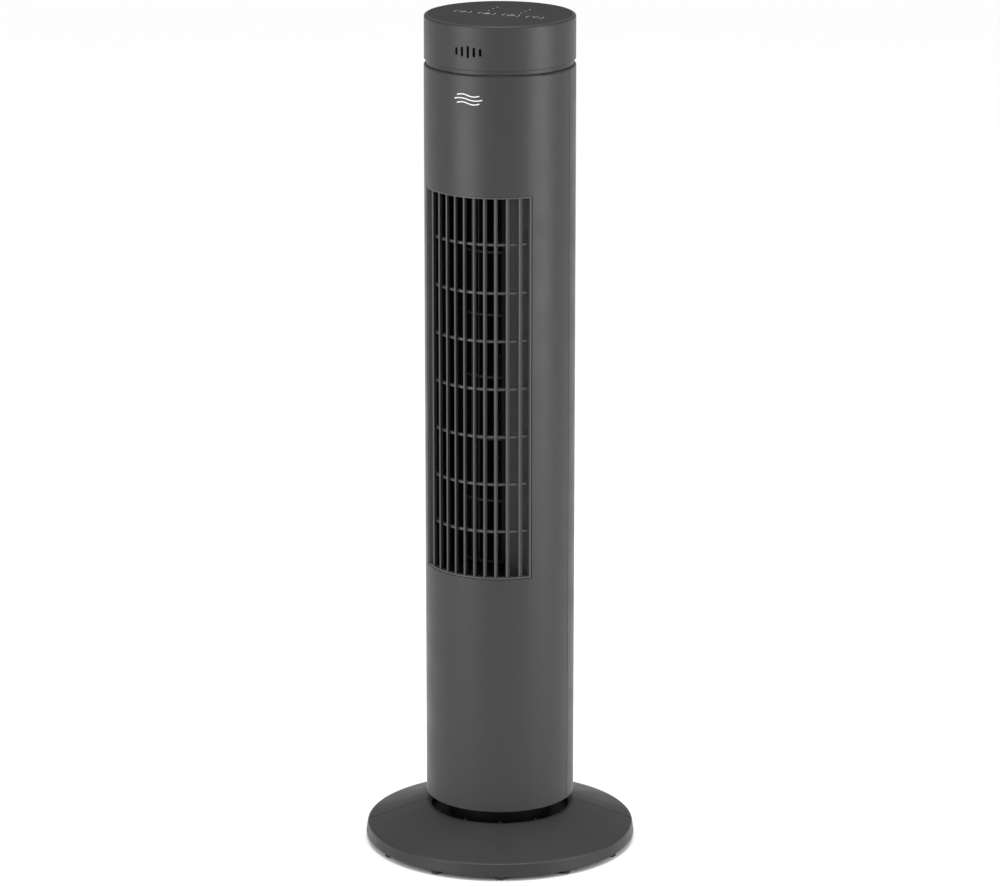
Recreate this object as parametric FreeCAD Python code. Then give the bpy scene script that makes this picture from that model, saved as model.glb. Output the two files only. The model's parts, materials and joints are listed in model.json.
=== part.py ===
import FreeCAD, Part
import math
import os

from FreeCAD import Vector

# Tower fan, millimetres, +Z up.  The origin is on the floor under the middle of the base.
# The air outlet faces -Y.  The base is turned by BASE_TURN, half way through the swing.

# Overall
HEIGHT = 745.0
BASE_R = 120.0
BODY_R = 65.5
BASE_TURN = 25.0
SEAM = 0.6

# Base
BASE_RIM_BOTTOM = 4.0
BASE_RIM_TOP = 15.0
BASE_RIM_R = 118.4
BASE_SLOPE = 0.362
BASE_WALL = 2.5
BASE_SEAM = 0.8
BASE_LIP_ROUND = 5.0
BASE_RIB_DEPTH = 6.5
WELL_R = 60.4
WELL_FLOOR = 22.5
WELL_HOLE_R = 40.0
UNDERSIDE_R = 116.2
JOINT_SCREW_X = 90.0
JOINT_SCREW_Z = 10.5
FOOT_R = 4.8
FOOT_CIRCLE = 112.5
FOOT_STEP = 30.0
GLAND_TURN = 165.0
GLAND_Z = 9.6
GLAND_OUT = -119.8
CORD_HOLE_R = 3.1

# Swivel
POST_R = 16.0
POST_BORE = 11.5
POST_TOP = 54.0
SHAFT_GAP = 0.05
DECK_TOP = 26.0
DECK_SCREW_R = 56.0
NECK_R = 45.0
NECK_BOTTOM = 28.2
NECK_SCREW_R = 34.0
COVER_BOTTOM = 44.5
COVER_TOP = 47.5
GEAR_MODULE = 1.5
RING_TEETH = 36
PINION_TEETH = 12
PRESSURE_ANGLE = 25.0
GEAR_Z = 50.5
GEAR_TOP = 57.0
SWING_MOTOR_R = 21.0
SWING_MOTOR_Z = 61.5
SWING_EAR_X = 26.0
SHAFT_DISTANCE = GEAR_MODULE * (RING_TEETH + PINION_TEETH) / 2

# Tower body
BODY_WALL = 2.7
BODY_BOTTOM = 44.0
BODY_TOP = 703.0
OPENING_BOTTOM = 258.5
OPENING_TOP = 598.5
OPENING_HALF = 49.7
INTAKE_HALF = 48.0
BOSS_X = 57.0
BOSS_LEVELS = (90.0, 230.0, 428.0, 628.0, 680.0)

# Outlet grille
BAR_PITCH = 9.1
BAR_COUNT = 10
BAR_WIDTH = 1.6
BAR_BACK_R = 60.4
RIB_COUNT = 7
RIB_WIDTH = 2.0

# Air path
FAN_X = -3.0
FAN_Y = 14.0
FAN_R = 40.0
FAN_BOTTOM = 262.0
FAN_TOP = 598.0
FAN_SEGMENTS = 6
BLADES = 32
DUCT_BOTTOM = 253.0
DUCT_TOP = 603.0

# Motor
MOTOR_R = 38.0
MOTOR_BOTTOM = 198.0
MOTOR_TOP = 246.0
STACK_BOTTOM = 212.0
STACK_TOP = 232.0
SHAFT_R = 4.0
MOTOR_SCREW_R = 43.0
WINDING_R = 28.5
BEARING_TOP = 612.5
HOLDER_SCREW_R = 18.5

# Head
HEAD_R = 65.3
HEAD_BOTTOM = 706.8
HEAD_INNER_R = 62.8
PANEL_R = 61.2
PANEL_BOTTOM = 741.5
PANEL_TOP = 744.7
BOARD_Z = 724.0
BOARD_POSTS = [(x, y) for x in (-38, 38) for y in (-24, 28)]
HEAD_SCREW_R = 56.0
TOUCH_PITCH = 22.6
TOUCH_Y = -2.4
LAMP_PLACES = [(x, y) for x in (-16.0, 14.5) for y in (11.5, 21.0, 30.0)]
SOUND_SLOT_LENGTH = 10.7
SOUND_SLOT_TAPER = 2.05
SOUND_SLOT_WIDTH = 2.3
SOUND_SLOT_STEP = 4.85

# Lead between the two circuit boards
LEAD_R = 2.2
LEAD_X = -54.0
LEAD_Y = -22.0

INNER_R = BODY_R - BODY_WALL
PIECES = {}


# ---------------------------------------------------------------- helpers

def cylinder(radius, z0, z1, x=0.0, y=0.0):
    return Part.makeCylinder(radius, z1 - z0, Vector(x, y, z0))


def tube(outer, inner, z0, z1, x=0.0, y=0.0):
    return cylinder(outer, z0, z1, x, y).cut(cylinder(inner, z0 - 1, z1 + 1, x, y))


def block(x0, x1, y0, y1, z0, z1):
    return Part.makeBox(x1 - x0, y1 - y0, z1 - z0, Vector(x0, y0, z0))


def rod_y(radius, x, y0, y1, z):
    return Part.makeCylinder(radius, y1 - y0, Vector(x, y0, z), Vector(0, 1, 0))


def turned(shape, degrees, x=0.0, y=0.0):
    copy = shape.copy()
    copy.rotate(Vector(x, y, 0), Vector(0, 0, 1), degrees)
    return copy


def moved(shape, x=0.0, y=0.0, z=0.0):
    copy = shape.copy()
    copy.translate(Vector(x, y, z))
    return copy


def fuse(shapes):
    joined = shapes[0].multiFuse(shapes[1:])
    return joined.removeSplitter()


def cut(shape, tools):
    return shape.cut(Part.makeCompound(tools))


def around(shape, count, x=0.0, y=0.0, start=0.0):
    return [turned(shape, start + 360.0 * i / count, x, y) for i in range(count)]


def rounded_wire(corners, place):
    """Closed wire through (u, v, corner radius) points, with an arc at each rounded corner."""
    points = [place(u, v) for u, v, radius in corners]
    entries, middles, exits = [], [], []
    for i, corner in enumerate(corners):
        here = points[i]
        back = (points[i - 1] - here).normalize()
        ahead = (points[(i + 1) % len(points)] - here).normalize()
        radius = corner[2]
        if radius == 0:
            entries.append(here)
            middles.append(None)
            exits.append(here)
            continue
        half = back.getAngle(ahead) / 2
        inward = (back + ahead).normalize()
        entries.append(here + back * (radius / math.tan(half)))
        middles.append(here + inward * (radius / math.sin(half) - radius))
        exits.append(here + ahead * (radius / math.tan(half)))
    edges = []
    for i in range(len(points)):
        if middles[i] is not None:
            edges.append(Part.Arc(entries[i], middles[i], exits[i]).toShape())
        edges.append(Part.makeLine(exits[i], entries[(i + 1) % len(points)]))
    return Part.Wire(edges)


def lathe(corners):
    """Solid of revolution about Z from (radius, height, corner radius) points."""
    wire = rounded_wire(corners, lambda r, z: Vector(r, 0, z))
    return Part.Face(wire).revolve(Vector(0, 0, 0), Vector(0, 0, 1), 360)


def plate(corners, z0, z1):
    """Flat plate from (x, y, corner radius) points."""
    wire = rounded_wire(corners, lambda x, y: Vector(x, y, z0))
    return Part.Face(wire).extrude(Vector(0, 0, z1 - z0))


def arc_plate(outer, inner, half, z0, z1, middle=0.0):
    """Part of a tube, centred on -Y turned by `middle` degrees."""
    wedge = Part.makeCylinder(outer, z1 - z0, Vector(0, 0, z0), Vector(0, 0, 1), 2 * half)
    piece = wedge.cut(cylinder(inner, z0 - 1, z1 + 1))
    return turned(piece, middle - 90 - half)


def curved_wall(points, thickness, z0, z1):
    """Upright wall of even thickness that follows a smooth line through the points."""
    line = Part.BSplineCurve()
    line.interpolate([Vector(x, y, z0) for x, y in points])
    sides = [[], []]
    steps = 4 * (len(points) - 1)
    for i in range(steps + 1):
        t = line.FirstParameter + (line.LastParameter - line.FirstParameter) * i / steps
        along = line.tangent(t)[0]
        across = Vector(-along.y, along.x, 0).normalize() * (thickness / 2)
        sides[0].append(line.value(t) + across)
        sides[1].append(line.value(t) - across)
    edges = []
    for side in sides:
        curve = Part.BSplineCurve()
        curve.interpolate(side)
        edges.append(curve.toShape())
    edges.insert(1, Part.makeLine(sides[0][-1], sides[1][-1]))
    edges.append(Part.makeLine(sides[1][0], sides[0][0]))
    wire = Part.Wire(Part.__sortEdges__(edges))
    return Part.Face(wire).extrude(Vector(0, 0, z1 - z0))


def screw(radius, head_radius, head_height, length):
    """Screw pointing down: the head sits on z = 0 and the shank goes below it."""
    head = cylinder(head_radius, 0, head_height)
    slot = block(-head_radius, head_radius, -0.4, 0.4, head_height * 0.5, head_height + 1)
    return head.cut(slot).fuse(cylinder(radius, -length, 0)).removeSplitter()


def laid_along_y(shape):
    """A downward screw turned so that it points to -Y, with its head on y = 0."""
    copy = shape.copy()
    copy.rotate(Vector(0, 0, 0), Vector(1, 0, 0), -90)
    return copy


def keep(name, *solids):
    PIECES[name] = Part.makeCompound(list(solids)) if len(solids) > 1 else solids[0]


def keep_base(name, *solids):
    keep(name, *[turned(solid, BASE_TURN) for solid in solids])


# ---------------------------------------------------------------- base, front to -Y

def foot_places():
    first = [i * FOOT_STEP for i in range(-2, 3)]
    return first + [angle + 180 for angle in first]


def base_cone_z(radius, depth=0.0):
    """Height of the base's conical top at a radius, or of a surface that far under it."""
    return BASE_RIM_TOP + BASE_SLOPE * (BASE_RIM_R - radius) - depth * math.hypot(1, BASE_SLOPE)


def base_ring():
    well_out = WELL_R + BASE_WALL
    shell = lathe([(BASE_R, BASE_RIM_BOTTOM, 1.2), (BASE_RIM_R, BASE_RIM_TOP, 2.6),
                   (WELL_R, base_cone_z(WELL_R), BASE_LIP_ROUND), (WELL_R, WELL_FLOOR, 0),
                   (WELL_HOLE_R, WELL_FLOOR, 0), (WELL_HOLE_R, WELL_FLOOR - BASE_WALL, 0),
                   (well_out, WELL_FLOOR - BASE_WALL, 0),
                   (well_out, base_cone_z(well_out, BASE_WALL), 0),
                   (UNDERSIDE_R, base_cone_z(UNDERSIDE_R, BASE_WALL), 0),
                   (BASE_R - BASE_WALL, BASE_RIM_BOTTOM, 0)])
    # The stiffeners reach to the middle of the wall, so that they fuse with it cleanly.
    mid_wall = BASE_WALL / 2
    mid_rim = 118.2
    mid_well = well_out - mid_wall
    roof = [(mid_well, base_cone_z(mid_well, mid_wall), 0),
            (116.8, base_cone_z(116.8, mid_wall), 0), (mid_rim, 12.0, 0)]
    under = lathe([(mid_well, 5.5, 0)] + roof + [(mid_rim, 5.5, 0)])
    rib_zone = lathe([(mid_well, base_cone_z(mid_well, BASE_RIB_DEPTH), 0)] + roof
                     + [(mid_rim, base_cone_z(mid_rim, BASE_RIB_DEPTH), 0)])
    rib = block(-1.0, 1.0, -119, -mid_well, 5, 40).common(rib_zone)
    boss = cylinder(FOOT_R + 1.7, 5, 35, 0, -FOOT_CIRCLE).common(under)
    lug = block(JOINT_SCREW_X - 6, JOINT_SCREW_X + 6, -6, 6, 5, 35).common(under)
    stiffeners = [turned(rib, angle) for angle in foot_places()]
    stiffeners += [turned(boss, angle) for angle in foot_places()]
    stiffeners += [lug, turned(lug, 180)]
    return fuse([shell] + stiffeners)


def make_base():
    ring = base_ring()
    holes = []
    screws = []
    for x in (-JOINT_SCREW_X, JOINT_SCREW_X):
        holes.append(rod_y(1.9, x, -20, 20, JOINT_SCREW_Z))
        screws.append(moved(laid_along_y(screw(1.9, 3.4, 2.4, 11.0)), x, 6.0, JOINT_SCREW_Z))
    ring = cut(ring, holes)
    front = ring.common(block(-130, 130, -130, -BASE_SEAM / 2, 0, 60))
    rear = ring.common(block(-130, 130, BASE_SEAM / 2, 130, 0, 60))
    gland_hole = rod_y(4.2, 0, -130, -108, GLAND_Z).fuse(rod_y(4.6, 0, -130, GLAND_OUT + 1.0, GLAND_Z))
    gland_hole = turned(gland_hole, GLAND_TURN)
    plate_holes = [turned(cylinder(1.6, 15, 30, DECK_SCREW_R, 0), 45 + 90 * i) for i in range(4)]
    keep_base("base_front_half", cut(front, plate_holes))
    keep_base("base_rear_half", cut(rear, plate_holes + [gland_hole]))
    keep_base("base_joint_screws", *screws)

    pad = lathe([(0, 0, 0), (FOOT_R - 0.6, 0, 0), (FOOT_R, 0.6, 0), (FOOT_R, 5.5, 0), (0, 5.5, 0)])
    pad = moved(pad, 0, -FOOT_CIRCLE)
    keep_base("base_feet", *[turned(pad, angle) for angle in foot_places()])

    flange = rod_y(4.6, 0, GLAND_OUT, GLAND_OUT + 1.0, GLAND_Z)
    sleeve = rod_y(4.2, 0, GLAND_OUT + 1.0, -112.0, GLAND_Z)
    gland = flange.fuse(sleeve).cut(rod_y(CORD_HOLE_R, 0, -130, -100, GLAND_Z))
    keep_base("cord_gland", turned(gland, GLAND_TURN))


# ---------------------------------------------------------------- swivel

def gear(teeth, z0, z1, bore):
    """Involute spur gear about Z, with thinned stub teeth and a tooth centred on +X."""
    pitch_r = GEAR_MODULE * teeth / 2
    pressure = math.radians(PRESSURE_ANGLE)
    base_r = pitch_r * math.cos(pressure)
    tip_r = pitch_r + 0.8 * GEAR_MODULE
    root_r = pitch_r - 1.1 * GEAR_MODULE
    half_tooth = math.pi / (2 * teeth) - 0.09 / pitch_r
    roll = math.tan(pressure) - pressure

    def flank_angle(radius):
        if radius <= base_r:
            return half_tooth + roll
        press = math.acos(base_r / radius)
        return half_tooth + roll - (math.tan(press) - press)

    low_r = max(root_r, base_r)
    radii = [low_r + (tip_r - low_r) * i / 3 for i in range(4)]
    if root_r < base_r:
        radii.insert(0, root_r)
    points = []
    for tooth in range(teeth):
        middle = 2 * math.pi * tooth / teeth
        for radius in radii:
            angle = middle - flank_angle(radius)
            points.append(Vector(radius * math.cos(angle), radius * math.sin(angle), z0))
        for radius in reversed(radii):
            angle = middle + flank_angle(radius)
            points.append(Vector(radius * math.cos(angle), radius * math.sin(angle), z0))
    outline = Part.makePolygon(points + [points[0]])
    body = Part.Face(outline).extrude(Vector(0, 0, z1 - z0))
    return body.cut(cylinder(bore, z0 - 1, z1 + 1))


def make_swivel():
    deck = tube(WELL_R - 0.4, POST_BORE, WELL_FLOOR, DECK_TOP)
    post = tube(POST_R, POST_BORE, WELL_FLOOR, POST_TOP)
    deck_screw = moved(screw(1.6, 2.8, 1.8, 5.6), DECK_SCREW_R, 0, 24.2)
    sinks = [turned(cylinder(2.8, 24.2, 30, DECK_SCREW_R, 0), 45 + 90 * i) for i in range(4)]
    shanks = [turned(cylinder(1.6, 20, 30, DECK_SCREW_R, 0), 45 + 90 * i) for i in range(4)]
    gear_screw_r = (POST_R + POST_BORE) / 2
    # A gap between teeth faces the pinion, which stands at +Y of the tower.
    ring_turn = 90 + 180.0 / RING_TEETH
    taps = around(cylinder(1.2, 44, POST_TOP + 1, gear_screw_r, 0), 3, start=ring_turn - BASE_TURN)
    keep_base("swivel_plate", cut(fuse([deck, post]), sinks + shanks + taps))
    keep_base("swivel_plate_screws", *around(deck_screw, 4, start=45))
    keep_base("glide_ring", tube(NECK_R + 0.5, NECK_R - 4.5, DECK_TOP, NECK_BOTTOM - 0.2))

    toothed = gear(RING_TEETH, GEAR_Z, GEAR_TOP, POST_R)
    cap = tube(20.0, POST_BORE, POST_TOP, GEAR_TOP)
    ring = fuse([toothed, cap]).cut(Part.makeCompound(around(cylinder(1.2, 50, 60, gear_screw_r, 0), 3)))
    keep("fixed_ring_gear", turned(ring, ring_turn))
    ring_screw = moved(screw(1.2, 2.2, 1.8, 10.0), gear_screw_r, 0, GEAR_TOP)
    keep("ring_gear_screws", *around(ring_screw, 3, start=ring_turn))

    hub = tube(POST_R + 4, POST_R + SHAFT_GAP, NECK_BOTTOM, GEAR_Z - 0.3)
    web = tube(NECK_R, POST_R + SHAFT_GAP, COVER_BOTTOM - 3, COVER_BOTTOM)
    skirt = tube(NECK_R, NECK_R - 3.5, NECK_BOTTOM, COVER_BOTTOM)
    neck_screw_holes = around(cylinder(1.6, 40, 50, NECK_SCREW_R, 0), 6, start=30)
    keep("swivel_neck", cut(fuse([hub, web, skirt]), neck_screw_holes))

    pinion = turned(gear(PINION_TEETH, GEAR_Z, GEAR_TOP, 3.0), -90)
    keep("oscillation_pinion", moved(pinion, 0, SHAFT_DISTANCE))
    keep("oscillation_shaft", cylinder(3.0, 49.5, 70.0, 0, SHAFT_DISTANCE))
    motor = lathe([(0, SWING_MOTOR_Z, 0), (SWING_MOTOR_R, SWING_MOTOR_Z, 1.0),
                   (SWING_MOTOR_R, 79.0, 1.0), (0, 79.0, 0)])
    shaft_bore = cylinder(3.0 + SHAFT_GAP, 60, 70.5, 0, SHAFT_DISTANCE)
    motor = moved(motor, 0, SHAFT_DISTANCE).cut(shaft_bore)
    ears = block(-30, 30, SHAFT_DISTANCE - 4, SHAFT_DISTANCE + 4, SWING_MOTOR_Z - 1.5, SWING_MOTOR_Z)
    ears = ears.cut(cylinder(9, 59, 62, 0, SHAFT_DISTANCE))
    ear_holes = [cylinder(1.6, 55, 65, x, SHAFT_DISTANCE) for x in (-SWING_EAR_X, SWING_EAR_X)]
    keep("oscillation_motor", cut(fuse([motor, ears]), ear_holes))


def make_bottom_cover():
    ears = (-SWING_EAR_X, SWING_EAR_X)
    disc = tube(INNER_R - 0.3, POST_R + 5, COVER_BOTTOM, COVER_TOP)
    skirt = tube(INNER_R - 0.3, INNER_R - 2.3, COVER_BOTTOM, 56.0)
    posts = [cylinder(3.6, COVER_BOTTOM, SWING_MOTOR_Z - 1.5, x, SHAFT_DISTANCE) for x in ears]
    holes = [cylinder(1.6, 50, 61, x, SHAFT_DISTANCE) for x in ears]
    holes += around(cylinder(1.6, 40, 50, NECK_SCREW_R, 0), 6, start=30)
    keep("bottom_cover", cut(fuse([disc, skirt] + posts), holes))
    neck_screw = moved(screw(1.6, 2.6, 1.8, 6.0), NECK_SCREW_R, 0, COVER_TOP)
    ear_screw = screw(1.6, 2.6, 1.8, 9.0)
    ear_screws = [moved(ear_screw, x, SHAFT_DISTANCE, SWING_MOTOR_Z) for x in ears]
    keep("swivel_screws", *(around(neck_screw, 6, start=30) + ear_screws))


# ---------------------------------------------------------------- housings and grilles

def housing_shell():
    return lathe([(INNER_R, BODY_BOTTOM, 0), (BODY_R - 0.8, BODY_BOTTOM, 0), (BODY_R, BODY_BOTTOM + 0.8, 0),
                  (BODY_R, BODY_TOP, 2.2), (INNER_R, BODY_TOP, 0)])


def make_housings():
    shell = housing_shell()
    within = cylinder(BODY_R - 0.6, BODY_BOTTOM, BODY_TOP)
    front_bosses, front_bores, rear_bosses, rear_bores, screws = [], [], [], [], []
    body_screw = laid_along_y(screw(1.5, 2.9, 2.4, 16.0))
    for x in (-BOSS_X, BOSS_X):
        for z in BOSS_LEVELS:
            web_x = sorted([x, math.copysign(BODY_R, x)])
            web = block(web_x[0], web_x[1], -14, -SEAM / 2, z - 1.2, z + 1.2).common(within)
            front_bosses.append(rod_y(4.2, x, -14, -SEAM / 2, z).fuse(web))
            front_bores.append(rod_y(1.5, x, -12, 1, z))
            rear_bosses.append(rod_y(4.4, x, SEAM / 2, 40, z).common(within))
            rear_bores.append(rod_y(1.5, x, -1, 9, z))
            rear_bores.append(rod_y(3.1, x, 6, 60, z))
            screws.append(moved(body_screw, x, 6.0, z))
    opening = arc_plate(BODY_R + 5, INNER_R - 6, OPENING_HALF, OPENING_BOTTOM, OPENING_TOP)
    intake = arc_plate(BODY_R + 5, INNER_R - 1, INTAKE_HALF, OPENING_BOTTOM, OPENING_TOP, 180)
    front = shell.common(block(-80, 80, -80, -SEAM / 2, 0, HEIGHT))
    rear = shell.common(block(-80, 80, SEAM / 2, 80, 0, HEIGHT))
    keep("front_housing", cut(fuse([front] + front_bosses), front_bores + [opening]))
    keep("rear_housing", cut(fuse([rear] + rear_bosses), rear_bores + [intake]))
    keep("housing_screws", *screws)


def make_outlet_grille():
    flange_in, flange_out = INNER_R - 2.2, INNER_R - 0.2
    face_r = BODY_R - 0.5
    low, high = OPENING_BOTTOM, OPENING_TOP
    lap_half = OPENING_HALF + 1.7
    edge_half = OPENING_HALF - 0.5
    lap = arc_plate(flange_out, flange_in, lap_half, low - 2, high + 2)
    lap = lap.cut(arc_plate(flange_out + 1, flange_in - 1, edge_half - 1.6, low + 1.8, high - 1.8))
    rim = arc_plate(face_r, flange_out - 0.5, edge_half, low + 0.4, high - 0.4)
    rim = rim.cut(arc_plate(face_r + 1, flange_out - 2, edge_half - 1.4, low + 1.8, high - 1.8))
    bars = []
    for i in range(BAR_COUNT):
        x = (i - (BAR_COUNT - 1) / 2) * BAR_PITCH
        x0, x1 = x - BAR_WIDTH / 2, x + BAR_WIDTH / 2
        front = -math.sqrt((face_r - 0.2) ** 2 - max(abs(x0), abs(x1)) ** 2)
        back = -math.sqrt(BAR_BACK_R ** 2 - x ** 2)
        bars.append(plate([(x0, front, 0.5), (x1, front, 0.5), (x1, back, 0), (x0, back, 0)],
                          low + 0.8, high - 0.8))
    cell = (high - low) / (RIB_COUNT + 1)
    ribs = []
    for i in range(1, RIB_COUNT + 1):
        z = low + cell * i
        ribs.append(arc_plate(61.2, 58.2, lap_half - 3.5, z - RIB_WIDTH / 2, z + RIB_WIDTH / 2))
    keep("outlet_grille", fuse([lap, rim] + bars + ribs))


def make_intake_grille():
    outer, inner = BODY_R - 0.1, INNER_R + 0.2
    half = INTAKE_HALF - 0.25
    low, high = OPENING_BOTTOM + 0.3, OPENING_TOP - 0.3
    columns, rows = 17, 8
    border = 4.0
    pitch = (2 * half - 4.0) / columns
    cell = (high - low - 2 * border) / rows
    panel = arc_plate(outer, inner, half, low, high, 180)
    slots = []
    for column in range(columns):
        turn = 180 - half + 2.0 + pitch * (column + 0.5)
        for row in range(rows):
            bottom = low + border + cell * row + 1.2
            slots.append(turned(block(-0.95, 0.95, -70, -60, bottom, bottom + cell - 2.4), turn))
    keep("intake_grille", cut(panel, slots))


# ---------------------------------------------------------------- air path

def make_duct():
    z0, z1 = DUCT_BOTTOM + 0.2, DUCT_TOP - 0.2
    scroll_line = [(-46.2, -36.6), (-47.2, -14.0), (FAN_X - 45.5, FAN_Y), (FAN_X - 37.5, FAN_Y + 24.5)]
    tongue_line = [(44.3, -35.4), (30.0, -31.6), (18.5, -27.6)]
    keep("scroll_wall", curved_wall(scroll_line, 1.8, z0, z1))
    keep("tongue_wall", curved_wall(tongue_line, 1.8, z0, z1))

    lower = cylinder(INNER_R - 0.4, DUCT_BOTTOM - 3, DUCT_BOTTOM)
    lower = lower.cut(cylinder(11.0, DUCT_BOTTOM - 5, DUCT_BOTTOM + 1, FAN_X, FAN_Y))
    upper = cylinder(INNER_R - 0.4, DUCT_TOP, DUCT_TOP + 3)
    upper = upper.cut(cylinder(12.2, DUCT_TOP - 1, DUCT_TOP + 5, FAN_X, FAN_Y))
    lead_slot = block(LEAD_X - 3, LEAD_X + 3, LEAD_Y - 3, LEAD_Y + 3, 200, 650)
    motor_holes = around(cylinder(1.6, 240, 260, FAN_X, FAN_Y + MOTOR_SCREW_R), 3, FAN_X, FAN_Y, -60)
    bearing_holes = around(cylinder(1.4, 600, 610, FAN_X, FAN_Y + HOLDER_SCREW_R), 3, FAN_X, FAN_Y)
    keep("duct_bottom_plate", cut(lower, motor_holes + [lead_slot]))
    keep("duct_top_plate", cut(upper, bearing_holes + [lead_slot]))


def fan_blade(z0, z1):
    """One forward-curved blade: a thin crescent near the rim."""
    inner, middle, outer = FAN_R - 10.5, FAN_R - 5.4, FAN_R - 0.3
    lead = math.radians(3.0)
    sweep = math.radians(1.0)

    def at(radius, angle):
        return Vector(FAN_X + radius * math.cos(angle), FAN_Y + radius * math.sin(angle), z0)

    half = 0.5
    under = Part.Arc(at(inner, -half / inner), at(middle, -sweep - half / middle),
                     at(outer, lead - half / outer)).toShape()
    top = Part.Arc(at(outer, lead + half / outer), at(middle, -sweep + half / middle),
                   at(inner, half / inner)).toShape()
    tip = Part.makeLine(at(outer, lead - half / outer), at(outer, lead + half / outer))
    root = Part.makeLine(at(inner, half / inner), at(inner, -half / inner))
    return Part.Face(Part.Wire([under, tip, top, root])).extrude(Vector(0, 0, z1 - z0))


def make_rotor():
    step = (FAN_TOP - FAN_BOTTOM - 2) / FAN_SEGMENTS
    discs = []
    for i in range(FAN_SEGMENTS + 1):
        z = FAN_BOTTOM + step * i
        discs.append(cylinder(FAN_R, z, z + 2, FAN_X, FAN_Y))
    blades = around(fan_blade(FAN_BOTTOM, FAN_TOP), BLADES, FAN_X, FAN_Y)
    drum = fuse(discs + blades)
    hub_hole = cylinder(9.0, FAN_BOTTOM - 1, FAN_BOTTOM + 2.5, FAN_X, FAN_Y)
    journal_hole = cylinder(3.0, FAN_TOP - 3, FAN_TOP + 1, FAN_X, FAN_Y)
    keep("impeller", cut(drum, [hub_hole, journal_hole]))

    hub = tube(9.0, SHAFT_R, 256.5, 271.0, FAN_X, FAN_Y)
    screw_hole = rod_y(1.5, FAN_X, FAN_Y - 12, FAN_Y - 3, 259.5)
    set_screw = rod_y(1.5, FAN_X, FAN_Y - 8.7, FAN_Y - SHAFT_R, 259.5)
    keep("impeller_hub", hub.cut(screw_hole))
    keep("hub_set_screw", set_screw.cut(cylinder(SHAFT_R, 250, 270, FAN_X, FAN_Y)))
    keep("motor_shaft", cylinder(SHAFT_R, 200.5, 270.0, FAN_X, FAN_Y))
    keep("motor_rotor", tube(20.8, SHAFT_R, STACK_BOTTOM, STACK_TOP, FAN_X, FAN_Y))
    journal = cylinder(3.0, FAN_TOP - 2, BEARING_TOP - 0.3, FAN_X, FAN_Y)
    collar = cylinder(10.0, FAN_TOP, FAN_TOP + 2.4, FAN_X, FAN_Y)
    keep("impeller_journal", fuse([journal, collar]))


def make_top_bearing():
    keep("top_bearing", tube(7.0, 3.0 + SHAFT_GAP, DUCT_TOP + 1, BEARING_TOP, FAN_X, FAN_Y))
    keep("bearing_rubber", tube(12.0, 7.0, DUCT_TOP + 1.4, BEARING_TOP, FAN_X, FAN_Y))
    cup = tube(15.0, 12.0, DUCT_TOP + 3, BEARING_TOP + 0.3, FAN_X, FAN_Y)
    lid = cylinder(15.0, BEARING_TOP + 0.3, BEARING_TOP + 2.5, FAN_X, FAN_Y)
    flange = tube(23.0, 12.2, DUCT_TOP + 3, DUCT_TOP + 5, FAN_X, FAN_Y)
    holes = around(cylinder(1.4, 600, 610, FAN_X, FAN_Y + HOLDER_SCREW_R), 3, FAN_X, FAN_Y)
    keep("bearing_holder", cut(fuse([cup, lid, flange]), holes))
    holder_screw = moved(screw(1.4, 2.4, 1.6, 4.8), FAN_X, FAN_Y + HOLDER_SCREW_R, DUCT_TOP + 5)
    keep("bearing_screws", *around(holder_screw, 3, FAN_X, FAN_Y))


# ---------------------------------------------------------------- motor

def motor_cover(z_open, z_closed):
    low, high = min(z_open, z_closed), max(z_open, z_closed)
    up = 1 if z_closed > z_open else -1
    wall = tube(MOTOR_R, MOTOR_R - 1.5, low, high)
    end = [z_closed, z_closed - 1.5 * up]
    seat = [z_closed, z_closed - 10.0 * up]
    lid = tube(MOTOR_R, 8.0, min(end), max(end))
    socket = tube(10.0, 8.0, min(seat), max(seat))
    vents = around(block(-2.5, 2.5, -33, -16, min(end) - 1, max(end) + 1), 8, start=22.5)
    return cut(fuse([wall, lid, socket]), vents)


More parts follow.
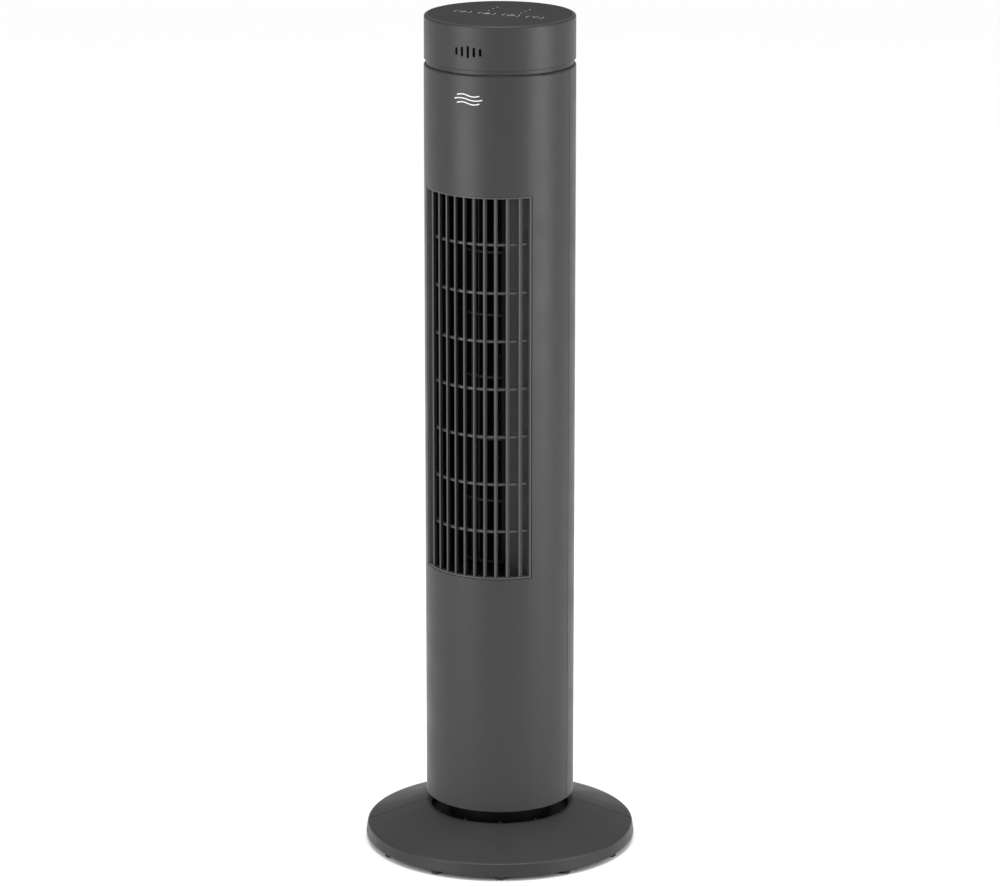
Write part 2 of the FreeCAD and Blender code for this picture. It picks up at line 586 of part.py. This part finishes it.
def make_motor():
    upper = motor_cover(STACK_TOP, MOTOR_TOP)
    ears = []
    holes = []
    for angle in (120, 240, 0):
        arm = block(-5.0, 5.0, -MOTOR_SCREW_R, -MOTOR_R + 1, MOTOR_TOP - 3, MOTOR_TOP)
        ear = arm.fuse(cylinder(5.0, MOTOR_TOP - 3, MOTOR_TOP, 0, -MOTOR_SCREW_R))
        ears.append(turned(ear, angle))
        holes.append(turned(cylinder(1.6, 240, 250, 0, -MOTOR_SCREW_R), angle))
    upper = cut(fuse([upper] + ears), holes)
    keep("motor_upper_cover", moved(upper, FAN_X, FAN_Y))
    keep("motor_lower_cover", moved(motor_cover(STACK_BOTTOM, MOTOR_BOTTOM), FAN_X, FAN_Y))

    bores = around(cylinder(3.0, STACK_BOTTOM - 1, STACK_TOP + 1, 0, WINDING_R), 12)
    slits = around(block(-0.8, 0.8, -28, -20, STACK_BOTTOM - 1, STACK_TOP + 1), 12)
    stack = cut(tube(MOTOR_R, 21.4, STACK_BOTTOM, STACK_TOP), bores + slits)
    keep("motor_stator", moved(stack, FAN_X, FAN_Y))
    ends = [tube(33.0, 24.0, 233.0, 240.0), tube(33.0, 24.0, 204.0, 211.0)]
    legs = around(cylinder(2.7, 205.0, 239.0, 0, WINDING_R), 12)
    keep("motor_windings", moved(fuse(ends + legs), FAN_X, FAN_Y))
    bushes = []
    for z in (MOTOR_TOP - 9.5, MOTOR_BOTTOM + 1.5):
        bushes.append(tube(8.0, SHAFT_R + SHAFT_GAP, z, z + 8, FAN_X, FAN_Y))
    keep("motor_bearings", *bushes)

    rubber = tube(5.0, 1.6, MOTOR_TOP, DUCT_BOTTOM - 3)
    motor_screw = screw(1.6, 2.8, 1.8, 10.0)
    motor_screw.rotate(Vector(0, 0, 0), Vector(1, 0, 0), 180)
    rubbers, screws = [], []
    for angle in (120, 240, 0):
        rubbers.append(moved(turned(moved(rubber, 0, -MOTOR_SCREW_R), angle), FAN_X, FAN_Y))
        low_screw = moved(motor_screw, 0, -MOTOR_SCREW_R, MOTOR_TOP - 3)
        screws.append(moved(turned(low_screw, angle), FAN_X, FAN_Y))
    keep("motor_rubbers", *rubbers)
    keep("motor_screws", *screws)


# ---------------------------------------------------------------- power parts in the foot of the tower

def make_power_parts():
    """Power board on its bracket; returns the board's screws."""
    wall = block(-42, 42, -26.0, -24.5, 47.5, 176)
    foot = block(-42, 42, -40.0, -24.5, 47.5, 49.5)
    foot = foot.common(cylinder(INNER_R - 3, 40, 60))
    clear = cylinder(38.0, 45, 62)
    bracket = fuse([wall, foot]).cut(clear)
    board_holes = []
    standoffs, screws = [], []
    for x in (-34, 34):
        for z in (96, 164):
            board_holes.append(rod_y(1.2, x, -40, 20, z))
            standoffs.append(rod_y(3.0, x, -24.5, -19.5, z))
            screws.append(moved(laid_along_y(screw(1.2, 2.2, 1.6, 7.0)), x, -17.9, z))
    bracket = cut(fuse([bracket] + standoffs), board_holes)
    keep("electronics_bracket", bracket)
    board = block(-40, 40, -19.5, -17.9, 90, 170)
    keep("power_board", cut(board, board_holes))
    transformer = block(-30, -6, -17.9, 2, 128, 156)
    relays = [block(4 + 12 * i, 14 + 12 * i, -17.9, -2, 136, 156) for i in range(2)]
    plugs = [block(-30 + 14 * i, -20 + 14 * i, -17.9, -9, 102, 110) for i in range(4)]
    keep("power_board_parts", transformer, *(relays + plugs))
    capacitor = plate([(-20, 8, 2), (20, 8, 2), (20, 26, 2), (-20, 26, 2)], 92, 124)
    keep("run_capacitor", capacitor)
    shelf = block(-30, 30, 6, 28, 90, 92)
    legs = [block(x - 1.5, x + 1.5, 6, 28, 47.5, 90) for x in (-40, 40)]
    arms = block(-41.5, 41.5, 6, 28, 90, 92)
    keep("capacitor_shelf", fuse([shelf, arms] + legs))
    return screws


# ---------------------------------------------------------------- head

def slot_cutter(length, width):
    half = (length - width) / 2
    z = (HEAD_BOTTOM + HEIGHT) / 2 - 3.4
    body = block(-width / 2, width / 2, -70, -58, z - half, z + half)
    ends = [rod_y(width / 2, 0, -70, -58, z + side * half) for side in (-1, 1)]
    return fuse([body] + ends)


def make_head():
    """Control head; returns the screws of its board."""
    deck = cylinder(BODY_R - 2.0, BODY_TOP + 0.2, HEAD_BOTTOM - 0.2)
    spigot = tube(INNER_R - 0.3, INNER_R - 3.0, BODY_TOP - 9, BODY_TOP + 1)
    posts = [cylinder(3.0, HEAD_BOTTOM - 1, BOARD_Z, x, y) for x, y in BOARD_POSTS]
    board_holes = [cylinder(1.2, BOARD_Z - 8, BOARD_Z + 5, x, y) for x, y in BOARD_POSTS]
    head_holes = [turned(cylinder(1.5, 700, 718, 0, HEAD_SCREW_R), 45 + 90 * i) for i in range(4)]
    lead_hole = block(-50.0, -44.0, LEAD_Y - 4, LEAD_Y + 4, 700, 712)
    keep("head_base", cut(fuse([deck, spigot] + posts), board_holes + head_holes + [lead_hole]))

    shell = lathe([(HEAD_R - 0.6, HEAD_BOTTOM, 0), (HEAD_R, HEAD_BOTTOM + 0.6, 0), (HEAD_R, HEIGHT, 2.0),
                   (PANEL_R + 0.2, HEIGHT, 0.4), (PANEL_R + 0.2, PANEL_BOTTOM, 0), (58.5, PANEL_BOTTOM, 0),
                   (58.5, PANEL_BOTTOM - 1.5, 0), (HEAD_INNER_R, PANEL_BOTTOM - 5.5, 0),
                   (HEAD_INNER_R, HEAD_BOTTOM, 0)])
    boss = cylinder(4.0, HEAD_BOTTOM, 718, 0, HEAD_SCREW_R)
    boss = boss.fuse(block(-2, 2, HEAD_SCREW_R, HEAD_INNER_R + 0.7, HEAD_BOTTOM, 718))
    bosses = [turned(boss, 45 + 90 * i) for i in range(4)]
    slots = []
    for i in range(-2, 3):
        length = SOUND_SLOT_LENGTH - SOUND_SLOT_TAPER * abs(i)
        slots.append(turned(slot_cutter(length, SOUND_SLOT_WIDTH), SOUND_SLOT_STEP * i))
    keep("head_shell", cut(fuse([shell] + bosses), slots + head_holes))
    head_screw = screw(1.5, 2.3, 1.8, 12.0)
    head_screw.rotate(Vector(0, 0, 0), Vector(1, 0, 0), 180)
    head_screw = moved(head_screw, 0, HEAD_SCREW_R, BODY_TOP + 0.2)
    keep("head_screws", *[turned(head_screw, 45 + 90 * i) for i in range(4)])

    panel = lathe([(0, PANEL_BOTTOM, 0), (PANEL_R, PANEL_BOTTOM, 0), (PANEL_R, PANEL_TOP, 0.5),
                   (0, PANEL_TOP, 0)])
    keep("top_panel", panel)
    board = plate([(-46, -34, 3), (46, -34, 3), (46, 35, 3), (-46, 35, 3)], BOARD_Z, BOARD_Z + 1.6)
    keep("control_board", cut(board, board_holes))
    board_screw = screw(1.2, 2.2, 1.6, 7.0)
    board_top = BOARD_Z + 1.6
    board_screws = [moved(board_screw, x, y, board_top) for x, y in BOARD_POSTS]
    pads = []
    for i in range(4):
        x = (i - 1.5) * TOUCH_PITCH
        pad = lathe([(0, board_top, 0), (4.5, board_top, 0), (4.5, PANEL_BOTTOM - 4, 1.0),
                     (7.0, PANEL_BOTTOM - 2, 0.5), (7.0, PANEL_BOTTOM, 0), (0, PANEL_BOTTOM, 0)])
        pads.append(moved(pad, x, TOUCH_Y))
    keep("touch_pads", *pads)
    lamp_top = board_top + 9.0
    lamp = lathe([(0, board_top, 0), (1.6, board_top, 0), (1.6, lamp_top, 0.8), (0, lamp_top, 0)])
    keep("indicator_leds", *[moved(lamp, x, y) for x, y in LAMP_PLACES])
    keep("display_module", block(-10.5, 9.5, 13, 27, board_top, PANEL_BOTTOM - 0.5))
    seat = HEAD_BOTTOM - 0.2
    buzzer = lathe([(1.5, seat, 0), (7.0, seat, 0), (7.0, 715, 0.8), (1.5, 715, 0)])
    keep("buzzer", moved(buzzer, 0, -48))
    eye = block(-3.2, 3.2, -33.5, -29.0, BOARD_Z - 8, BOARD_Z)
    lens = rod_y(2.4, 0, -35.0, -33.5, BOARD_Z - 4)
    keep("remote_receiver", fuse([eye, lens]))
    return board_screws


def make_harness():
    """Lead from the power board up the side of the tower to the control board."""
    x_board, x_top = -36.0, -47.0
    low, high = 113.0, 716.0
    bend = 9.0
    y = LEAD_Y

    def corner(here, before, after):
        back = (before - here).normalize()
        ahead = (after - here).normalize()
        start = here + back * bend
        end = here + ahead * bend
        half = back.getAngle(ahead) / 2
        reach = bend / math.cos(half)
        centre_gap = bend * math.tan(half)
        middle = here + (back + ahead).normalize() * (reach - centre_gap)
        return start, middle, end

    points = [Vector(x_board, y, low), Vector(LEAD_X, y, low), Vector(LEAD_X, y, 668.0),
              Vector(x_top, y, 690.0), Vector(x_top, y, high)]
    edges = []
    last = points[0]
    for i in range(1, len(points) - 1):
        start, middle, end = corner(points[i], points[i - 1], points[i + 1])
        edges.append(Part.makeLine(last, start))
        edges.append(Part.Arc(start, middle, end).toShape())
        last = end
    edges.append(Part.makeLine(last, points[-1]))
    path = Part.Wire(edges)
    section = Part.Wire([Part.makeCircle(LEAD_R, points[0], Vector(1, 0, 0))])
    lead = path.makePipeShell([section], True, True)
    keep("wiring_harness", lead)
    clips = []
    for z in (150.0, 240.0, 640.0):
        clips.append(tube(LEAD_R + 1.8, LEAD_R, z, z + 6, LEAD_X, y))
    keep("harness_clips", *clips)


def main():
    make_base()
    make_swivel()
    make_bottom_cover()
    make_housings()
    make_outlet_grille()
    make_intake_grille()
    make_duct()
    make_rotor()
    make_top_bearing()
    make_motor()
    board_screws = make_power_parts() + make_head()
    keep("board_screws", *board_screws)
    make_harness()
    os.makedirs("parts", exist_ok=True)
    for name, shape in PIECES.items():
        shape.exportStep("parts/" + name + ".step")
        print(name, len(shape.Solids), shape.isValid(), round(shape.Volume))


main()
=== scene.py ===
import json
import math

import bpy
import bmesh
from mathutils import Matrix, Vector


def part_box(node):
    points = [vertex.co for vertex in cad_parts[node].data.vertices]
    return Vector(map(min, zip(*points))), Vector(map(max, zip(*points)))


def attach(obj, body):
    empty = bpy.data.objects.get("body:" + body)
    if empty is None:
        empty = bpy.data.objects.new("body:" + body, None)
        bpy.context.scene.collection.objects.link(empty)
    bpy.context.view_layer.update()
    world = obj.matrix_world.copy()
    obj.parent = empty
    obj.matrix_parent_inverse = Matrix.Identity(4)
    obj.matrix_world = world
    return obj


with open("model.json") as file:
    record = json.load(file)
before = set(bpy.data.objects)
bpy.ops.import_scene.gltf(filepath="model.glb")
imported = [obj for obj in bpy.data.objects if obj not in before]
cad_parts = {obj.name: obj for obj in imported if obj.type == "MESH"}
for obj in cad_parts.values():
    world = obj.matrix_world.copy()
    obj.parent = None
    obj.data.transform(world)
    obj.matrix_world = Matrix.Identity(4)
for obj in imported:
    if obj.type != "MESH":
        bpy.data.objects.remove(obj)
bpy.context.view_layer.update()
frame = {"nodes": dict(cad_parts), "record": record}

MM = 0.001

# ---------------------------------------------------------------- camera
# Metres and degrees, with the lens and the sensor in millimetres
CAMERA_AZIMUTH = 24.65
CAMERA_ELEVATION = 15.384
CAMERA_DISTANCE = 3.948
CAMERA_LENS = 162.0
CAMERA_AIM_HEIGHT = 0.3638
SENSOR_WIDTH = 36.0
CLIP_NEAR = 0.05
CLIP_FAR = 60.0


def direction(azimuth, elevation=0):
    """Unit vector away from the object: degrees round from its front towards +X, and degrees up."""
    turn = math.radians(azimuth)
    rise = math.radians(elevation)
    level = math.cos(rise)
    return Vector((math.sin(turn) * level, -math.cos(turn) * level, math.sin(rise)))


def face_centre(thing, away):
    """Turns a camera or a light, which stands in the direction away, back towards the object."""
    thing.rotation_mode = "QUATERNION"
    thing.rotation_quaternion = (-away).to_track_quat("-Z", "Y")


def make_camera():
    data = bpy.data.cameras.new("camera")
    data.lens = CAMERA_LENS
    data.sensor_width = SENSOR_WIDTH
    data.clip_start = CLIP_NEAR
    data.clip_end = CLIP_FAR
    camera = bpy.data.objects.new("camera", data)
    bpy.context.collection.objects.link(camera)
    away = direction(CAMERA_AZIMUTH, CAMERA_ELEVATION)
    camera.location = Vector((0, 0, CAMERA_AIM_HEIGHT)) + away * CAMERA_DISTANCE
    face_centre(camera, away)
    bpy.context.scene.camera = camera


# ---------------------------------------------------------------- studio
# Metres and degrees. Each soft box has a name, an angle from the camera's azimuth, and a power.
BOX_DISTANCE = 1.25
BOX_WIDTH = 0.74
BOX_HEIGHT = 1.5
BOX_ABOVE_FLOOR = 0.02
BOXES = (("soft_box_left", -51, 13), ("soft_box_right", 63, 14))
OVERHEAD_STRENGTH = 2.25
OVERHEAD_SPREAD = 40
WORLD_STRENGTH = 0.38
FLOOR_REACH = 30.0
FLOOR_WHITE = (0.93, 0.93, 0.93, 1)
FLOOR_ROUGHNESS = 0.7


def soft_box(name, azimuth, power):
    """Upright rectangular light, just above the floor, that faces the object."""
    data = bpy.data.lights.new(name, "AREA")
    data.shape = "RECTANGLE"
    data.size = BOX_WIDTH
    data.size_y = BOX_HEIGHT
    data.energy = power
    light = bpy.data.objects.new(name, data)
    bpy.context.collection.objects.link(light)
    away = direction(CAMERA_AZIMUTH + azimuth)
    light.location = Vector((0, 0, BOX_HEIGHT / 2 + BOX_ABOVE_FLOOR)) + away * BOX_DISTANCE
    face_centre(light, away)


def make_studio():
    """White surroundings, two soft boxes, a wide light from above and a plain white floor."""
    scene = bpy.context.scene
    scene.view_settings.view_transform = "Standard"
    world = bpy.data.worlds.new("studio")
    world.use_nodes = True
    scene.world = world
    background = world.node_tree.nodes["Background"]
    background.inputs["Color"].default_value = (1.0, 1.0, 1.0, 1.0)
    background.inputs["Strength"].default_value = WORLD_STRENGTH

    for name, azimuth, power in BOXES:
        soft_box(name, azimuth, power)
    overhead = bpy.data.lights.new("overhead", "SUN")
    overhead.energy = OVERHEAD_STRENGTH
    overhead.angle = math.radians(OVERHEAD_SPREAD)
    bpy.context.collection.objects.link(bpy.data.objects.new("overhead", overhead))

    mesh = bpy.data.meshes.new("floor")
    square = ((-1, -1), (1, -1), (1, 1), (-1, 1))
    corners = [(x * FLOOR_REACH, y * FLOOR_REACH, 0) for x, y in square]
    mesh.from_pydata(corners, [], [(0, 1, 2, 3)])
    floor = bpy.data.objects.new("floor", mesh)
    bpy.context.collection.objects.link(floor)
    material = bpy.data.materials.new("floor_white")
    material.use_nodes = True
    shader = material.node_tree.nodes["Principled BSDF"]
    shader.inputs["Base Color"].default_value = FLOOR_WHITE
    shader.inputs["Roughness"].default_value = FLOOR_ROUGHNESS
    mesh.materials.append(material)


# ---------------------------------------------------------------- materials
# Texture values from NOISE_LOW to NOISE_HIGH are spread over a whole range, others are cut off.
NOISE_LOW = 0.3
NOISE_HIGH = 0.7


class Recipe:
    """A procedural material, built by short calls. Its textures use object coordinates."""

    def __init__(self, name):
        self.material = bpy.data.materials.new(name)
        self.material.use_nodes = True
        self.tree = self.material.node_tree
        self.shader = self.tree.nodes["Principled BSDF"]
        self.place = self.tree.nodes.new("ShaderNodeTexCoord").outputs["Object"]

    def link(self, source, target):
        self.tree.links.new(source, target)

    def feed(self, socket, source):
        """Links a source to one of the shader's sockets."""
        self.link(source, self.shader.inputs[socket])

    def fix(self, socket, value):
        """Gives one of the shader's sockets a constant."""
        self.shader.inputs[socket].default_value = value

    def stretched(self, scale):
        node = self.tree.nodes.new("ShaderNodeMapping")
        node.inputs["Scale"].default_value = scale
        self.link(self.place, node.inputs["Vector"])
        return node.outputs["Vector"]

    def noise(self, scale, detail=3.0, roughness=0.5, vector=None):
        node = self.tree.nodes.new("ShaderNodeTexNoise")
        node.inputs["Scale"].default_value = scale
        node.inputs["Detail"].default_value = detail
        node.inputs["Roughness"].default_value = roughness
        self.link(vector or self.place, node.inputs["Vector"])
        return node.outputs["Fac"]

    def spread(self, value, low, high):
        """Maps a texture value onto the range from low to high."""
        node = self.tree.nodes.new("ShaderNodeMapRange")
        node.inputs["From Min"].default_value = NOISE_LOW
        node.inputs["From Max"].default_value = NOISE_HIGH
        node.inputs["To Min"].default_value = low
        node.inputs["To Max"].default_value = high
        self.link(value, node.inputs["Value"])
        return node.outputs["Result"]

    def blend(self, value, first, second):
        """A colour between two others, by a texture value."""
        node = self.tree.nodes.new("ShaderNodeValToRGB")
        ends = ((NOISE_LOW, first), (NOISE_HIGH, second))
        for stop, (position, colour) in zip(node.color_ramp.elements, ends):
            stop.position = position
            stop.color = (*colour, 1)
        self.link(value, node.inputs["Fac"])
        return node.outputs["Color"]

    def bump(self, height, strength, distance, under=None):
        """Relief from a texture value, on top of the relief under it. The distance is in metres."""
        node = self.tree.nodes.new("ShaderNodeBump")
        node.inputs["Strength"].default_value = strength
        node.inputs["Distance"].default_value = distance
        self.link(height, node.inputs["Height"])
        if under is not None:
            self.link(under, node.inputs["Normal"])
        return node.outputs["Normal"]


def shade(colour, factor):
    return tuple(min(1.0, c * factor) for c in colour)


def plastic(name, colour, roughness, variation=0.05, grain=0.12, specular=0.32):
    """Injection-moulded plastic: faint flow mottling, fine spark-eroded grain, uneven gloss."""
    r = Recipe(name)
    flow = r.noise(9.0, detail=4.0, roughness=0.55, vector=r.stretched((1.0, 1.0, 0.35)))
    r.feed("Base Color", r.blend(flow, shade(colour, 1 - variation), shade(colour, 1 + variation)))
    r.feed("Roughness", r.spread(r.noise(38.0), roughness - 0.04, roughness + 0.04))
    fine = r.bump(r.noise(2600.0, detail=2.0), strength=grain, distance=0.00004)
    waviness = r.noise(120.0, detail=2.0)
    r.feed("Normal", r.bump(waviness, strength=0.05, distance=0.0002, under=fine))
    r.fix("Specular IOR Level", specular)
    return r.material


def metal(name, colour, roughness, stretch=(1, 1, 12), scale=260.0):
    """Rolled or turned metal with fine directional scratches."""
    r = Recipe(name)
    streak = r.noise(scale, detail=4.0, roughness=0.6, vector=r.stretched(stretch))
    r.feed("Base Color", r.blend(streak, shade(colour, 0.82), shade(colour, 1.08)))
    r.feed("Roughness", r.spread(streak, roughness - 0.08, roughness + 0.1))
    r.feed("Normal", r.bump(streak, strength=0.15, distance=0.00005))
    r.fix("Metallic", 1.0)
    return r.material


def rubber(name, colour):
    """Dull soft material with blotches and a fine rough skin."""
    r = Recipe(name)
    blotches = r.noise(160.0, detail=5.0, roughness=0.7)
    r.feed("Base Color", r.blend(blotches, shade(colour, 0.75), shade(colour, 1.3)))
    r.feed("Roughness", r.spread(r.noise(90.0), 0.72, 0.9))
    r.feed("Normal", r.bump(r.noise(1800.0), strength=0.35, distance=0.00008))
    return r.material


def circuit_board(name):
    """Green solder mask with a grid of lighter copper tracks under it."""
    r = Recipe(name)
    tracks = r.tree.nodes.new("ShaderNodeTexBrick")
    tracks.inputs["Scale"].default_value = 130.0
    tracks.inputs["Color1"].default_value = (0.012, 0.11, 0.035, 1)
    tracks.inputs["Color2"].default_value = (0.008, 0.08, 0.028, 1)
    tracks.inputs["Mortar"].default_value = (0.03, 0.22, 0.07, 1)
    tracks.inputs["Mortar Size"].default_value = 0.03
    r.link(r.place, tracks.inputs["Vector"])
    r.feed("Base Color", tracks.outputs["Color"])
    r.feed("Roughness", r.spread(r.noise(200.0), 0.28, 0.42))
    r.feed("Normal", r.bump(tracks.outputs["Fac"], strength=0.2, distance=0.00005))
    return r.material


def wound_copper(name):
    """Enamelled wire laid in rings: fine waves across the winding."""
    r = Recipe(name)
    turns = r.tree.nodes.new("ShaderNodeTexWave")
    turns.wave_type = "RINGS"
    turns.rings_direction = "Z"
    turns.inputs["Scale"].default_value = 420.0
    turns.inputs["Distortion"].default_value = 0.6
    r.link(r.place, turns.inputs["Vector"])
    r.feed("Base Color", r.blend(turns.outputs["Fac"], (0.26, 0.08, 0.03), (0.62, 0.26, 0.12)))
    r.feed("Normal", r.bump(turns.outputs["Fac"], strength=0.6, distance=0.0002))
    r.feed("Roughness", r.spread(r.noise(300.0), 0.26, 0.4))
    r.fix("Metallic", 0.85)
    return r.material


GREY = (0.0285, 0.0285, 0.0295)
CARBON = (0.004, 0.004, 0.0042)


# Nodes whose finish differs from their slot's own
OWN_FINISHES = {
    "base_front_half": "base_plastic",
    "base_rear_half": "base_plastic",
    "head_base": "housing_plastic",
    "impeller": "black_plastic",
    "impeller_hub": "black_plastic",
    "glide_ring": "black_plastic",
    "swivel_plate_screws": "black_steel",
    # The tongue wall gets a lighter copy of the housing plastic, painted light where light falls on it
    "tongue_wall": "tongue_plastic_painted_light",
    "intake_grille": "housing_plastic",
}


def make_materials():
    """All materials, by the names that slots and OWN_FINISHES use."""
    return {
        "housing_plastic": plastic("housing_plastic", GREY, 0.40),
        "base_plastic": plastic("base_plastic", shade(GREY, 0.85), 0.42),
        # grille_plastic is the housing plastic made lighter, as a painted highlight for the light the
        # bars' edges catch
        "grille_plastic": plastic("grille_plastic", shade(GREY, 1.9), 0.4, specular=0.35),
        # duct_plastic is the housing plastic made darker, as painted shade for the shaded inside of the
        # duct
        "duct_plastic": plastic("duct_plastic", shade(GREY, 0.2), 0.55, specular=0.12),
        # The tongue wall's plastic is the housing plastic made lighter, as painted light on the lit wall
        "tongue_plastic_painted_light": plastic("tongue_plastic_painted_light", shade(GREY, 1.25), 0.5,
                                  variation=0.2, specular=0.25),
        "black_plastic": plastic("black_plastic", CARBON, 0.55, specular=0.18),
        "panel_gloss": plastic("panel_gloss", shade(GREY, 0.9), 0.55, grain=0.05, specular=0.13),
        "rubber": rubber("rubber", (0.02, 0.02, 0.02)),
        "steel": metal("steel", (0.55, 0.55, 0.56), 0.34),
        "black_steel": metal("black_steel", (0.02, 0.02, 0.02), 0.5),
        "zinc_plate": metal("zinc_plate", (0.58, 0.59, 0.61), 0.4, stretch=(1, 6, 1), scale=120.0),
        "lamination_steel": metal("lamination_steel", (0.25, 0.25, 0.26), 0.5,
                                  stretch=(1, 1, 40), scale=120.0),
        "copper_wire": wound_copper("copper_wire"),
        "bronze": metal("bronze", (0.52, 0.33, 0.15), 0.45),
        "acetal": plastic("acetal", (0.72, 0.72, 0.69), 0.42),
        "circuit_board": circuit_board("circuit_board"),
        "component_black": plastic("component_black", (0.025, 0.025, 0.026), 0.45),
        "lamp_clear": plastic("lamp_clear", (0.62, 0.68, 0.72), 0.2),
        "foam": rubber("foam", (0.06, 0.06, 0.062)),
        "cable_sheath": rubber("cable_sheath", (0.03, 0.03, 0.031)),
        "print_white": plastic("print_white", (0.72, 0.72, 0.73), 0.45, variation=0.03),
        "print_pale": plastic("print_pale", (0.45, 0.45, 0.46), 0.45, variation=0.03),
    }


def dress_nodes(materials):
    """Gives each CAD node the material named by its slot, or its own finish."""
    slots = {row["node"]: row["material_slot"] for row in frame["record"]["subparts"]}
    for node, obj in frame["nodes"].items():
        material = materials[OWN_FINISHES.get(node, slots[node])]
        obj.data.materials.clear()
        obj.data.materials.append(material)


# ---------------------------------------------------------------- printed marks
# Sizes in millimetres, angles in degrees
PRINT_THICKNESS = 0.05
SIGN_PITCH = 22.6
SIGN_Y = -2.4
SIGN_STROKE = 0.7
BRACKET_RADIUS = 7.4
BRACKET_HALF_ANGLE = 32
BRACKET_STROKE = 0.65
LAMP_COLUMNS = (-16.0, 14.5)
LAMP_ROWS = (11.5, 21.0, 30.0)
LAMP_RADIUS = 0.45
LAMP_STROKE = 0.8
SMALL_RING_STEPS = 12
WAVE_COUNT = 3
WAVE_MIDDLE_Z = 682
WAVE_PITCH = 3.4
WAVE_LENGTH = 26
WAVE_SHORTER = 5
WAVE_DEPTH = 1.0
WAVE_STROKE = 0.9


def arc_points(x, y, radius, start, end, steps=24):
    points = []
    for i in range(steps + 1):
        angle = math.radians(start + (end - start) * i / steps)
        points.append((x + radius * math.cos(angle), y + radius * math.sin(angle)))
    return points


def wave_points(x, y, length, depth, steps=32):
    points = []
    for i in range(steps + 1):
        t = i / steps
        points.append((x + length * (t - 0.5), y + depth * math.sin(2 * math.pi * t)))
    return points


def add_stroke(mesh, points, width, place):
    """A printed line of even width: a thin closed strip along 2-D points, laid on a surface by place."""
    count = len(points)
    rows = []
    for i in range(count):
        ahead = Vector(points[min(i + 1, count - 1)])
        behind = Vector(points[max(i - 1, 0)])
        along = (ahead - behind).normalized()
        side = Vector((-along.y, along.x)) * (width / 2)
        here = Vector(points[i])
        row = []
        for offset in (side, -side):
            for lift in (0.0, PRINT_THICKNESS):
                row.append(mesh.verts.new(place(here.x + offset.x, here.y + offset.y, lift)))
        rows.append(row)
    for first, second in zip(rows, rows[1:]):
        for a, b in ((1, 0), (3, 1), (2, 3), (0, 2)):
            mesh.faces.new((first[a], first[b], second[b], second[a]))
    mesh.faces.new((rows[0][0], rows[0][1], rows[0][3], rows[0][2]))
    mesh.faces.new((rows[-1][2], rows[-1][3], rows[-1][1], rows[-1][0]))


def finish_print(name, mesh, material, body):
    """Turns the strokes into one piece that rides on a body."""
    bmesh.ops.recalc_face_normals(mesh, faces=mesh.faces)
    data = bpy.data.meshes.new(name)
    mesh.to_mesh(data)
    mesh.free()
    piece = bpy.data.objects.new(name, data)
    bpy.context.collection.objects.link(piece)
    data.materials.append(material)
    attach(piece, body)


def on_panel(x, y, lift):
    """Millimetres on the top panel, x to the right and y to the back."""
    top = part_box("top_panel")[1].z
    return Vector((x * MM, y * MM, top + lift * MM))


def on_front(x, z, lift):
    """Millimetres round the tower from the middle of its front, and height above the floor."""
    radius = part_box("front_housing")[1].x / MM
    angle = x / radius
    reach = (radius + lift) * MM
    return Vector((reach * math.sin(angle), -reach * math.cos(angle), z * MM))


def power_sign(x, y):
    """A ring open at the top, with an upright stroke in the gap."""
    return [arc_points(x, y, 2.6, 120, 420), [(x, y + 0.6), (x, y + 3.4)]]


def speed_sign(x, y):
    """A small hub with three curled blades."""
    strokes = [arc_points(x, y, 0.7, 0, 360, SMALL_RING_STEPS)]
    for blade in range(3):
        turn = 90 + 120 * blade
        cx = x + 2.0 * math.cos(math.radians(turn))
        cy = y + 2.0 * math.sin(math.radians(turn))
        strokes.append(arc_points(cx, cy, 1.2, turn + 200, turn + 500, 16))
    return strokes


def timer_sign(x, y):
    """A clock face with two hands."""
    return [arc_points(x, y, 2.8, 0, 360), [(x, y), (x, y + 1.9)], [(x, y), (x + 1.4, y - 0.5)]]


def swing_sign(x, y):
    """A flat arc with an arrowhead at each end, over a short stem."""
    strokes = [arc_points(x, y - 2.2, 4.2, 45, 135)]
    for side in (-1, 1):
        tip_x = x + side * 3.0
        tip_y = y + 0.8
        upper = (tip_x - side * 0.2, tip_y + 1.6)
        lower = (tip_x - side * 1.8, tip_y + 0.3)
        strokes.append([upper, (tip_x, tip_y), lower])
    strokes.append([(x, y - 2.6), (x, y + 0.4)])
    return strokes


def make_panel_print(materials):
    """Four touch signs, each between two brackets, and a dot over each lamp."""
    mesh = bmesh.new()
    signs = (power_sign, speed_sign, timer_sign, swing_sign)
    for i, sign in enumerate(signs):
        x = (i - (len(signs) - 1) / 2) * SIGN_PITCH
        for stroke in sign(x, SIGN_Y):
            add_stroke(mesh, stroke, SIGN_STROKE, on_panel)
        for side in (0, 180):
            start = side - BRACKET_HALF_ANGLE
            end = side + BRACKET_HALF_ANGLE
            bracket = arc_points(x, SIGN_Y, BRACKET_RADIUS, start, end)
            add_stroke(mesh, bracket, BRACKET_STROKE, on_panel)
    for x in LAMP_COLUMNS:
        for y in LAMP_ROWS:
            dot = arc_points(x, y, LAMP_RADIUS, 0, 360, SMALL_RING_STEPS)
            add_stroke(mesh, dot, LAMP_STROKE, on_panel)
    finish_print("panel_print", mesh, materials["print_pale"], "tower")


def make_front_mark(materials):
    """A generic sign for moving air, where such a fan carries its badge."""
    mesh = bmesh.new()
    for i in range(WAVE_COUNT):
        step = i - WAVE_COUNT // 2
        z = WAVE_MIDDLE_Z + WAVE_PITCH * step
        length = WAVE_LENGTH - WAVE_SHORTER * abs(step)
        add_stroke(mesh, wave_points(0, z, length, WAVE_DEPTH), WAVE_STROKE, on_front)
    finish_print("front_mark", mesh, materials["print_white"], "tower")


def main():
    make_camera()
    make_studio()
    materials = make_materials()
    dress_nodes(materials)
    make_panel_print(materials)
    make_front_mark(materials)


main()
